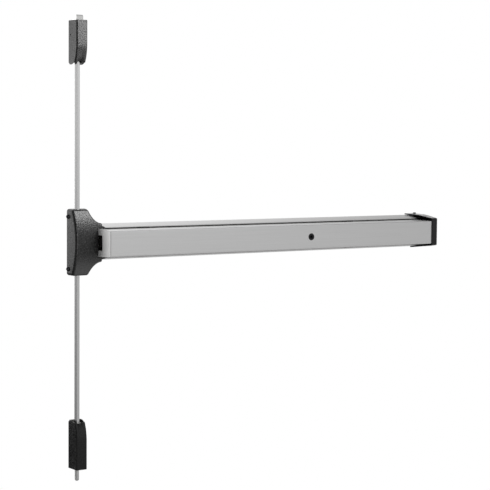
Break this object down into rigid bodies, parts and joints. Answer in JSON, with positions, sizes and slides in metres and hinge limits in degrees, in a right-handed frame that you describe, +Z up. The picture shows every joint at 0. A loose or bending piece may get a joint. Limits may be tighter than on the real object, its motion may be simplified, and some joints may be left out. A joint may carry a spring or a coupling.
{
  "type": "panic exit bar",
  "caption": "Touch-bar exit device with a vertical rod latch above and below, pushed towards the door to draw both bolts in.",
  "frame": {"origin": "on the door face, at the rod centre line and at the middle height of the touch bar", "axes": "+X along the touch bar away from the centre case, +Y into the door, +Z up along the rods"},
  "size_m": [0.8721, 0.0793, 0.882],
  "materials": {
    "zinc_steel": "zinc plated, satin",
    "rod_steel": "satin, fine lengthwise grain",
    "spring_steel": "bare spring steel",
    "bolt_steel": "satin stainless",
    "anodised_bar": "satin anodised, fine lengthwise grain",
    "anodised_rail": "satin anodised",
    "grey_plastic": "grey moulded, matt",
    "black_textured_paint": "black fine-textured powder coat",
    "black_plastic": "black moulded, satin",
    "black_oxide_steel": "black oxide"
  },
  "bodies": {
    "frame": {"chassis_base": "zinc_steel", "chassis_cover": "black_textured_paint", "cover_screws": "black_oxide_steel", "bell_crank_pins": "zinc_steel", "bell_crank_clips": "spring_steel", "rod_bushings": "black_plastic", "front_crank_bracket": "zinc_steel", "rear_crank_bracket": "zinc_steel", "crank_pivot_pins": "zinc_steel", "bracket_rivets": "zinc_steel", "rail": "anodised_rail", "rail_screws": "zinc_steel", "end_bracket": "zinc_steel", "end_bracket_screws": "zinc_steel", "dogging_catch": "zinc_steel", "end_cap": "black_plastic", "end_cap_screw": "black_oxide_steel", "top_latch_spring": "spring_steel", "bottom_latch_spring": "spring_steel", "top_latch_base": "zinc_steel", "top_latch_cover": "black_textured_paint", "bottom_latch_base": "zinc_steel", "bottom_latch_cover": "black_textured_paint", "bottom_bolt_bushing": "black_plastic"},
    "push_bar": {"touch_bar": "anodised_bar", "left_end_plug": "grey_plastic", "right_end_plug": "grey_plastic", "front_pad_bracket": "zinc_steel", "rear_pad_bracket": "zinc_steel", "pad_rivets": "zinc_steel", "front_guide_shoes": "black_plastic", "rear_guide_shoes": "black_plastic", "dogging_bushing": "black_plastic", "dogging_retainer": "spring_steel"},
    "front_crank_body": {"front_crank": "zinc_steel", "front_crank_pins": "zinc_steel"},
    "rear_crank_body": {"rear_crank": "zinc_steel", "rear_crank_pins": "zinc_steel"},
    "actuator": {"actuator_link": "zinc_steel", "link_rivets": "zinc_steel", "centre_slide": "zinc_steel", "slide_pins": "zinc_steel"},
    "upper_bell": {"upper_bell_crank": "zinc_steel", "upper_crank_pin": "zinc_steel"},
    "lower_bell": {"lower_bell_crank": "zinc_steel", "lower_crank_pin": "zinc_steel"},
    "top_rod_body": {"top_rod": "rod_steel", "upper_connector": "zinc_steel", "upper_set_screw": "black_oxide_steel", "top_coupling": "zinc_steel", "top_bolt": "bolt_steel"},
    "bottom_rod_body": {"bottom_rod": "rod_steel", "lower_connector": "zinc_steel", "lower_set_screw": "black_oxide_steel", "bottom_coupling": "zinc_steel", "bottom_bolt": "bolt_steel"},
    "dogging": {"dogging_shaft": "black_oxide_steel", "dogging_ring": "spring_steel"}
  },
  "joints": [
    {"name": "push", "type": "slide", "parent": "frame", "child": "push_bar", "axis": [0, 1, 0], "range_m": [0, 0.01766]},
    {"name": "front_crank_turn", "type": "hinge", "parent": "frame", "child": "front_crank_body", "pos_m": [0.156, -0.024, 0], "axis": [0, 0, 1], "range_deg": [-39.75, 0]},
    {"name": "rear_crank_turn", "type": "hinge", "parent": "frame", "child": "rear_crank_body", "pos_m": [0.662, -0.024, 0], "axis": [0, 0, 1], "range_deg": [-39.75, 0]},
    {"name": "actuator_slide", "type": "slide", "parent": "frame", "child": "actuator", "axis": [1, 0, 0], "range_m": [0, 0.00816]},
    {"name": "upper_bell_turn", "type": "hinge", "parent": "frame", "child": "upper_bell", "pos_m": [0.024, -0.012, 0.022], "axis": [0, 1, 0], "range_deg": [-34.8, 0]},
    {"name": "lower_bell_turn", "type": "hinge", "parent": "frame", "child": "lower_bell", "pos_m": [0.024, -0.012, -0.022], "axis": [0, 1, 0], "range_deg": [0, 34.8]},
    {"name": "top_rod_slide", "type": "slide", "parent": "frame", "child": "top_rod_body", "axis": [0, 0, -1], "range_m": [0, 0.01435], "deforming": ["top_latch_spring"]},
    {"name": "bottom_rod_slide", "type": "slide", "parent": "frame", "child": "bottom_rod_body", "axis": [0, 0, 1], "range_m": [0, 0.01435], "deforming": ["bottom_latch_spring"]},
    {"name": "dogging_turn", "type": "hinge", "parent": "push_bar", "child": "dogging", "pos_m": [0.5073, -0.06, 0], "axis": [0, 1, 0], "range_deg": [0, 90]}
  ],
  "couplings": [
    {"joint": "front_crank_turn", "follows": "push", "rad_per_m": -39.235},
    {"joint": "rear_crank_turn", "follows": "push", "rad_per_m": -39.235},
    {"joint": "actuator_slide", "follows": "push", "ratio": 0.46146},
    {"joint": "upper_bell_turn", "follows": "push", "rad_per_m": -34.353},
    {"joint": "lower_bell_turn", "follows": "push", "rad_per_m": 34.353},
    {"joint": "top_rod_slide", "follows": "push", "ratio": 0.81189},
    {"joint": "bottom_rod_slide", "follows": "push", "ratio": 0.81189}
  ]
}
